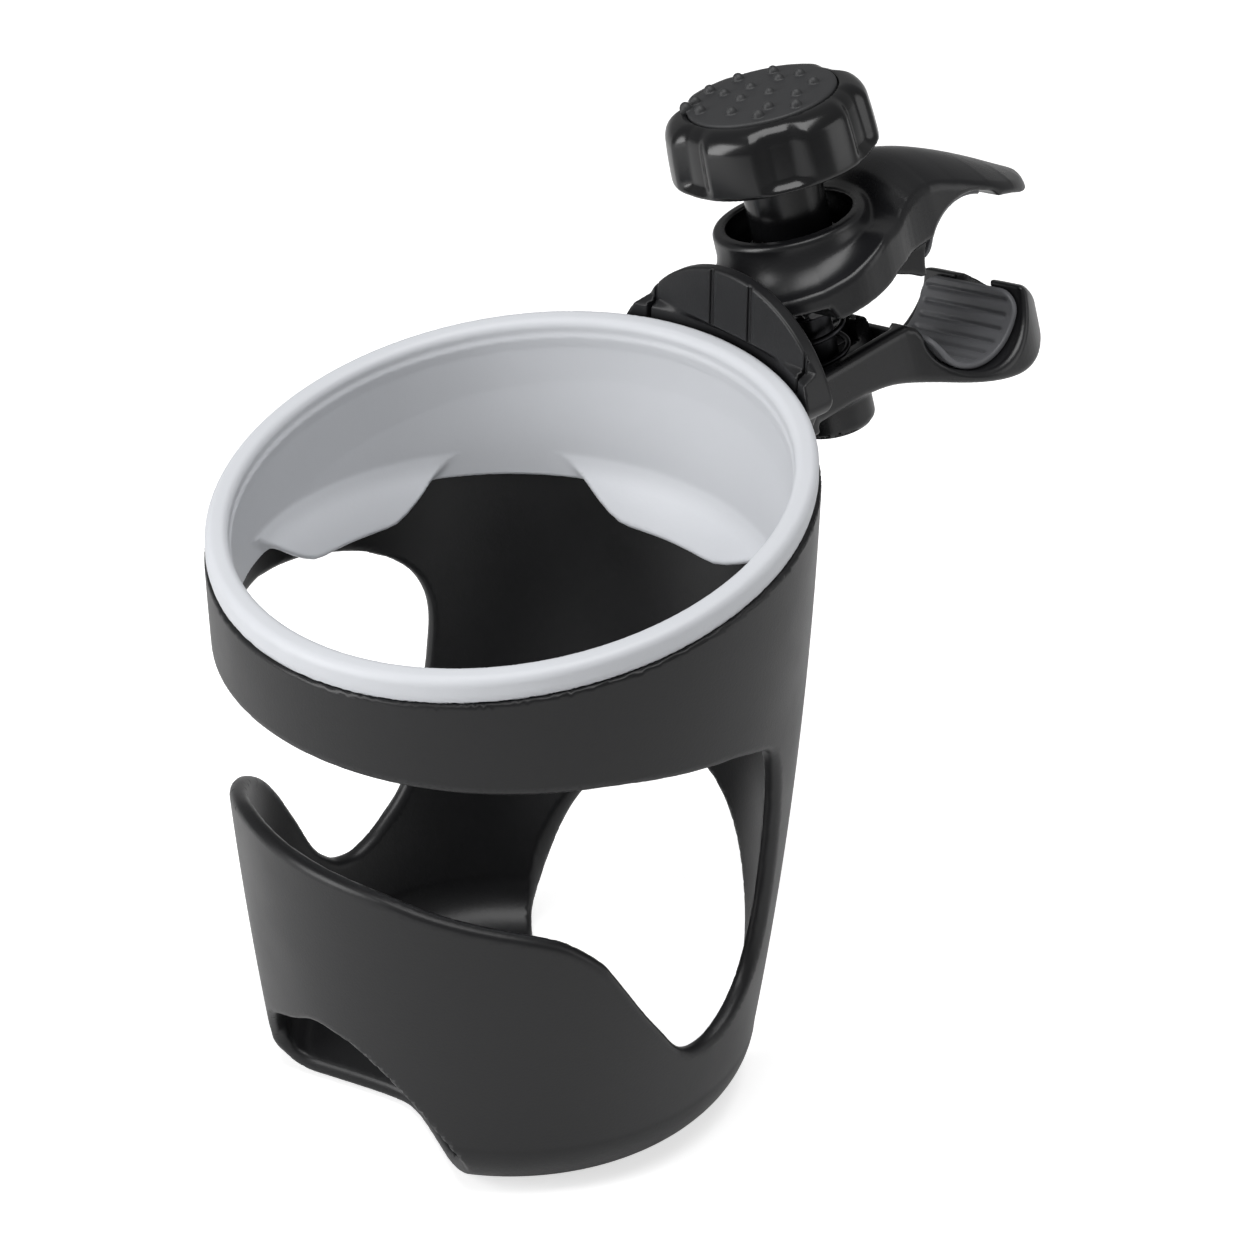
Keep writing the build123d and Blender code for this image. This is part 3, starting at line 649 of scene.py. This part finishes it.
def upper_jaw_field(p):
    along, up, across = p.T
    screw_r = np.hypot(along - SCREW, across)
    side = UPPER_SIDE(along, up)
    d = meet(side, UPPER_PLAN(along, across), 0.7)
    skirt = meet(side, SKIRT_PLAN(along, across), 0.7)
    skirt = meet(skirt, (np.interp(along, *SKIRT_FLOOR) - up) * 0.95, 0.8)
    d = fuse(d, skirt, 1.2)
    d = meet(d, (up - upper_top(along, across, screw_r)) * 0.66, 0.8)
    collar = meet(screw_r - 12.0, slab(up, 17.2, 5.2), 0.9)
    d = fuse(d, collar, 1.0)
    hollow = both(box(along - 16.0, across, 10.4, 5.9, 1.0), up - 11.0, 0.0 - up)
    d = cut(d, hollow, 0.4)
    # knuckle for the pin
    pin_r = np.hypot(along - PIN[0], up - PIN[1])
    width = slab(across, 0, 5.38)
    knuckle = meet(pin_r - 3.1, width, 0.25)
    web = meet(box(along - 4.0, up - 12.0, 3.6, 2.4, 0.3), width, 0.25)
    d = np.minimum(d, np.minimum(knuckle, web))
    # collar recess, screw clearance and pin bore
    d = cut(d, both(screw_r - 9.9, 14.0 - up), 0.35)
    d = bore(d, both(screw_r - 5.6, up - 15.0))
    d = bore(d, pin_r - 1.56)
    # room for the lower jaw's ears
    for side in (1, -1):
        room = both(slab(along, 2.0, 4.7), slab(up, 8.3, 4.6), slab(across * side, 7.5, 1.95))
        d = cut(d, room, 0.2)
    return d


def upper_pad_field(p):
    along, up, across = p.T
    radius = np.hypot(along - CLAW[0], up - CLAW[1])
    angle = np.degrees(np.arctan2(up - CLAW[1], along - CLAW[0]))
    patch = pad_patch(angle, across, middle=111, half=60, radius=8.8, corner=3.0)
    return meet(slab(radius, 8.76, 0.42), patch, 0.3)


# ---------------------------------------------------------------- knob
KNOB_RADIUS = 16.0
KNOB_BOTTOM, KNOB_TOP = 31.5, 41.95
FIRST_FLUTE = math.degrees(math.atan2(0.733, -0.52))  # one of six, 60 degrees apart
CAP_RADIUS = 11.5
# raised dots on the cap: (along, across)
DOTS = [(6.6, -8.0), (8.92, -8.4), (12.99, -9.4), (6.55, -4.65), (12.71, -5.85), (7.59, 1.27),
        (11.88, -1.23), (18.0, -8.3), (15.9, -3.3), (15.3, 1.5), (11.07, 5.77), (22.0, -4.65),
        (20.0, -1.3), (16.36, 6.4), (22.6, 0.63), (20.8, 5.5), (8.2, 6.6), (13.2, 9.6)]


def knob_field(p):
    along, up, across = p.T
    r = np.hypot(along - SCREW, across)
    angle = np.degrees(np.arctan2(across, along - SCREW)) - FIRST_FLUTE
    flute = 1 - ease(np.abs((angle + 30) % 60 - 30), 5.0, 17.5)
    rise = np.clip((up - KNOB_BOTTOM) / 10.4, 0, 1)
    outer = KNOB_RADIUS - 0.1 * rise - 0.75 * rise ** 2
    depth = 1.5 * ease(up, 31.0, 33.5) * (1 - 0.45 * ease(up, 38.5, 42.5))
    d = meet(r - (outer - depth * flute), up - KNOB_TOP + 0.035 * np.maximum(r - 6, 0), 3.0)
    d = meet(d, KNOB_BOTTOM - up, 0.8)
    # cap recess, screw bore and sleeve recess
    d = cut(d, both(r - 11.62, 40.22 - up), 0.25)
    d = bore(d, both(r - 3.02, up - 39))
    return bore(d, both(r - 4.62, 33.0 - up))


def cap_field(p):
    along, up, across = p.T
    r = np.hypot(along - SCREW, across)
    dome = up - (42.55 - 0.45 * (r / CAP_RADIUS) ** 2)
    d = meet(r - CAP_RADIUS, both(dome, 40.28 - up), 0.35)
    stem = both(r - 4.4, 38.1 - up, up - 41)
    d = np.minimum(d, stem)
    for a, b in DOTS:
        away = np.sqrt((along - a) ** 2 + (across - b) ** 2 + ((up - 42.3) * 0.85) ** 2)
        d = fuse(d, away - 0.92, 0.25)
    return d


def sleeve_field(p):
    along, up, across = p.T
    r = np.hypot(along - SCREW, across)
    return bore(meet(r - 6.2, slab(up, 24.8, 6.68), 0.5), r - 3.03)


# ---------------------------------------------------------------- building the pieces
# name, field, low corner, high corner, cell size, frame, body, node replaced, slot
PIECES = [
    ("shell", shell_field, (-47, -47, -2), (47, 47, 109), 0.85, CUP,
     "cup", "cup_shell", "shell_black"),
    ("liner", liner_field, (-46.5, -46.5, 74), (46.5, 46.5, 112.5), 0.48, CUP,
     "cup", "grip_liner", "liner_grey"),
    ("bracket", bracket_field, (36.5, -25, 73), (48.5, 25, 123), 0.42, CUP,
     "cup", "cup_bracket", "shell_black"),
    ("jaw_low", lower_jaw_field, (-9, -19, -15), (63, 14.5, 15), 0.42, CLAMP,
     "clamp", "lower_jaw", "clamp_black"),
    ("pad_low", lower_pad_field, (28, -13.5, -12), (50, 0.5, 12), 0.24, CLAMP,
     "clamp", "lower_pad", "pad_grey"),
    ("jaw_up", upper_jaw_field, (-3, 4, -18.5), (63.5, 27.5, 18.5), 0.42, CLAMP,
     "upper", "upper_jaw", "clamp_black"),
    ("pad_up", upper_pad_field, (29, 5, -12), (51.5, 18, 12), 0.3, CLAMP,
     "upper", "upper_pad", "pad_grey"),
    ("knob", knob_field, (-3, 30, -18), (33, 44, 18), 0.36, CLAMP,
     "knob", "knob_body", "knob_black"),
    ("cap", cap_field, (1.5, 37, -13), (28, 44.5, 13), 0.26, CLAMP,
     "knob", "knob_cap", "cap_black"),
    ("sleeve", sleeve_field, (7, 17, -8), (23, 32.5, 8), 0.36, CLAMP,
     "knob", "knob_sleeve", "knob_black")]

coarsen = 1.0
built = []
for name, field, low, high, cell, place, body, replaced, slot in PIECES:
    piece = field_object(name, field, low, high, cell * coarsen, place)
    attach(piece, body)
    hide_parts(replaced)
    built.append((piece, slot))


# ---------------------------------------------------------------- materials
def set_inputs(node, values):
    for key, value in values.items():
        node.inputs[key].default_value = value


def add_node(tree, kind, inputs=None, **settings):
    node = tree.nodes.new(kind)
    for key, value in settings.items():
        setattr(node, key, value)
    set_inputs(node, inputs or {})
    return node


def material(name, base, tint, rough, bump, grain=2200.0, blotch=60.0, metallic=0.0,
             specular=0.5):
    """Blotches vary colour (base to tint) and roughness (a pair); a fine grain gives the bump."""
    mat = bpy.data.materials.new(name)
    mat.use_nodes = True
    tree = mat.node_tree
    tree.nodes.clear()
    out = add_node(tree, "ShaderNodeOutputMaterial")
    bsdf = add_node(tree, "ShaderNodeBsdfPrincipled", {
        "Metallic": metallic, "Specular IOR Level": specular,
        "Coat Weight": 0.0, "Coat Roughness": 0.1})
    coords = add_node(tree, "ShaderNodeTexCoord")
    fine = add_node(tree, "ShaderNodeTexNoise", {"Scale": grain, "Detail": 4.0, "Roughness": 0.6})
    wide = add_node(tree, "ShaderNodeTexNoise",
                    {"Scale": blotch, "Detail": 3.0, "Roughness": 0.55})
    # sockets 6 and 7 are the two colours, output 2 the mixed one
    mix = add_node(tree, "ShaderNodeMix", {6: (*base, 1), 7: (*tint, 1)}, data_type="RGBA")
    spread = add_node(tree, "ShaderNodeMapRange", {
        "From Min": 0.3, "From Max": 0.7, "To Min": rough[0], "To Max": rough[1]})
    relief = add_node(tree, "ShaderNodeBump", {"Strength": bump, "Distance": 0.00006})
    for source, target in (
            (bsdf.outputs[0], out.inputs[0]),
            (coords.outputs["Object"], fine.inputs["Vector"]),
            (coords.outputs["Object"], wide.inputs["Vector"]),
            (wide.outputs["Fac"], mix.inputs[0]),
            (mix.outputs[2], bsdf.inputs["Base Color"]),
            (wide.outputs["Fac"], spread.inputs["Value"]),
            (spread.outputs[0], bsdf.inputs["Roughness"]),
            (fine.outputs["Fac"], relief.inputs["Height"]),
            (relief.outputs[0], bsdf.inputs["Normal"])):
        tree.links.new(source, target)
    return mat


def finish_with(ob, mat):
    ob.data.materials.clear()
    ob.data.materials.append(mat)


SHELL = material("shell_satin", base=(0.0085, 0.0086, 0.0094), tint=(0.0112, 0.0113, 0.0124),
                 rough=(0.33, 0.41), bump=0.35, specular=0.38)
SATIN = material("clamp_satin", base=(0.0066, 0.0067, 0.0076), tint=(0.009, 0.0092, 0.0104),
                 rough=(0.25, 0.33), bump=0.25)
GLOSS = material("knob_gloss", base=(0.0045, 0.0046, 0.0050), tint=(0.0062, 0.0063, 0.0070),
                 rough=(0.16, 0.22), bump=0.08)
MATT = material("cap_matt", base=(0.022, 0.0225, 0.024), tint=(0.028, 0.0285, 0.030),
                rough=(0.5, 0.58), bump=0.5, grain=1500)
LINER = material("liner_soft", base=(0.58, 0.595, 0.625), tint=(0.61, 0.625, 0.655),
                 rough=(0.45, 0.52), bump=0.25, grain=1300)
RUBBER = material("pad_rubber", base=(0.105, 0.107, 0.115), tint=(0.125, 0.127, 0.135),
                  rough=(0.38, 0.5), bump=0.4, grain=1800)
ZINC = material("zinc", base=(0.55, 0.56, 0.57), tint=(0.63, 0.64, 0.65),
                rough=(0.28, 0.42), bump=0.15, grain=900, blotch=400, metallic=1.0)
SPRING = material("spring_steel", base=(0.035, 0.035, 0.038), tint=(0.05, 0.05, 0.054),
                  rough=(0.3, 0.42), bump=0.1, grain=900, blotch=300, metallic=1.0)
OXIDE = material("black_oxide", base=(0.028, 0.028, 0.030), tint=(0.04, 0.04, 0.043),
                 rough=(0.34, 0.46), bump=0.12, grain=900, blotch=300, metallic=1.0)

SLOT_MATERIALS = {"shell_black": SHELL, "liner_grey": LINER, "clamp_black": SATIN,
                  "pad_grey": RUBBER, "knob_black": GLOSS, "cap_black": MATT}
# CAD pieces that are not in the shell's material
NODE_MATERIALS = {
    "opening_spring": SPRING, "friction_washer": SPRING, "clamp_screw": OXIDE,
    "nut_cover": SATIN,
    **dict.fromkeys(("bracket_screws", "hinge_pin", "pin_retainers", "clamp_nut", "swivel_bolt",
                     "swivel_nut", "swivel_washer", "thrust_washer"), ZINC)}
for piece, slot in built:
    finish_with(piece, SLOT_MATERIALS[slot])
for name, ob in NODES.items():
    finish_with(ob, NODE_MATERIALS.get(name, SHELL))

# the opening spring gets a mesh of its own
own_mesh(NODES["opening_spring"])


# ---------------------------------------------------------------- studio, in metres
def floor_material():
    """Faintly mottled white that glows more to the camera than to the pieces."""
    mat = bpy.data.materials.new("floor")
    mat.use_nodes = True
    tree = mat.node_tree
    bsdf = tree.nodes["Principled BSDF"]
    set_inputs(bsdf, {"Roughness": 0.9, "Specular IOR Level": 0.1,
                      "Emission Color": (1, 1, 1, 1)})
    noise = add_node(tree, "ShaderNodeTexNoise", {"Scale": 6.0, "Detail": 2.0})
    ramp = add_node(tree, "ShaderNodeValToRGB")
    for element, grey in zip(ramp.color_ramp.elements, (0.80, 0.84)):
        element.color = (grey, grey, grey, 1)
    coords = add_node(tree, "ShaderNodeTexCoord")
    # glow: 0.08, and 0.55 more for camera rays
    glow = add_node(tree, "ShaderNodeMath", {1: 0.55, 2: 0.08}, operation="MULTIPLY_ADD")
    path = add_node(tree, "ShaderNodeLightPath")
    tree.links.new(coords.outputs["Object"], noise.inputs["Vector"])
    tree.links.new(noise.outputs["Fac"], ramp.inputs["Fac"])
    tree.links.new(ramp.outputs["Color"], bsdf.inputs["Base Color"])
    tree.links.new(path.outputs["Is Camera Ray"], glow.inputs[0])
    tree.links.new(glow.outputs[0], bsdf.inputs["Emission Strength"])
    return mat


def add_floor(half=3.0, z=-0.0004):
    mesh = bpy.data.meshes.new("floor")
    corners = [(-half, -half, z), (half, -half, z), (half, half, z), (-half, half, z)]
    mesh.from_pydata(corners, [], [(0, 1, 2, 3)])
    floor = link("floor", mesh)
    mesh.materials.append(floor_material())


def add_world(light=0.24, backdrop=1.0):
    """White world, brighter to the camera than as a light."""
    world = bpy.data.worlds.new("studio")
    scene.world = world
    world.use_nodes = True
    tree = world.node_tree
    lit = tree.nodes["Background"]
    set_inputs(lit, {"Color": (1, 1, 1, 1), "Strength": light})
    seen = add_node(tree, "ShaderNodeBackground", {"Color": (1, 1, 1, 1), "Strength": backdrop})
    path = add_node(tree, "ShaderNodeLightPath")
    mix = add_node(tree, "ShaderNodeMixShader")
    tree.links.new(path.outputs["Is Camera Ray"], mix.inputs[0])
    tree.links.new(lit.outputs[0], mix.inputs[1])
    tree.links.new(seen.outputs[0], mix.inputs[2])
    tree.links.new(mix.outputs[0], tree.nodes["World Output"].inputs[0])


def add_area(name, location, target, size, power):
    light = bpy.data.lights.new(name, "AREA")
    light.shape = "RECTANGLE"
    light.size, light.size_y = size
    light.energy = power
    ob = link(name, light)
    ob.location = location
    ob.rotation_mode = "QUATERNION"
    ob.rotation_quaternion = (Vector(target) - Vector(location)).to_track_quat("-Z", "Y")


def add_camera():
    turn, tilt, roll = (math.radians(a) for a in (-43.432, 30.964, 0.763))
    back = Vector((math.sin(turn) * math.cos(tilt), -math.cos(turn) * math.cos(tilt),
                   math.sin(tilt)))
    level = Vector((math.cos(turn), math.sin(turn), 0))
    upright = back.cross(level)
    right = math.cos(roll) * level + math.sin(roll) * upright
    top = -math.sin(roll) * level + math.cos(roll) * upright
    aim = Vector((0, 0, 0.055))
    place = aim + right * 0.016959 + top * 0.020108 + back * 0.66170
    data = bpy.data.cameras.new("camera")
    data.sensor_width = 36.0
    data.lens = 126.65682692
    data.clip_start, data.clip_end = 0.01, 20.0
    camera = link("camera", data)
    rows = [(right[i], top[i], back[i], place[i]) for i in range(3)]
    camera.matrix_world = Matrix((*rows, (0, 0, 0, 1)))
    scene.camera = camera


add_floor()
add_world()
add_area("top", (-0.05, -0.1, 0.75), target=(0.02, 0, 0.08), size=(0.5, 0.5), power=3.3)
add_area("left", (-0.65, 0.25, 0.35), target=(0, 0, 0.06), size=(0.35, 0.6), power=3.9)
add_area("right", (0.45, -0.55, 0.3), target=(0.02, 0, 0.07), size=(0.3, 0.5), power=0.6)
add_camera()
scene.view_settings.view_transform = "Standard"
scene.view_settings.look = "None"
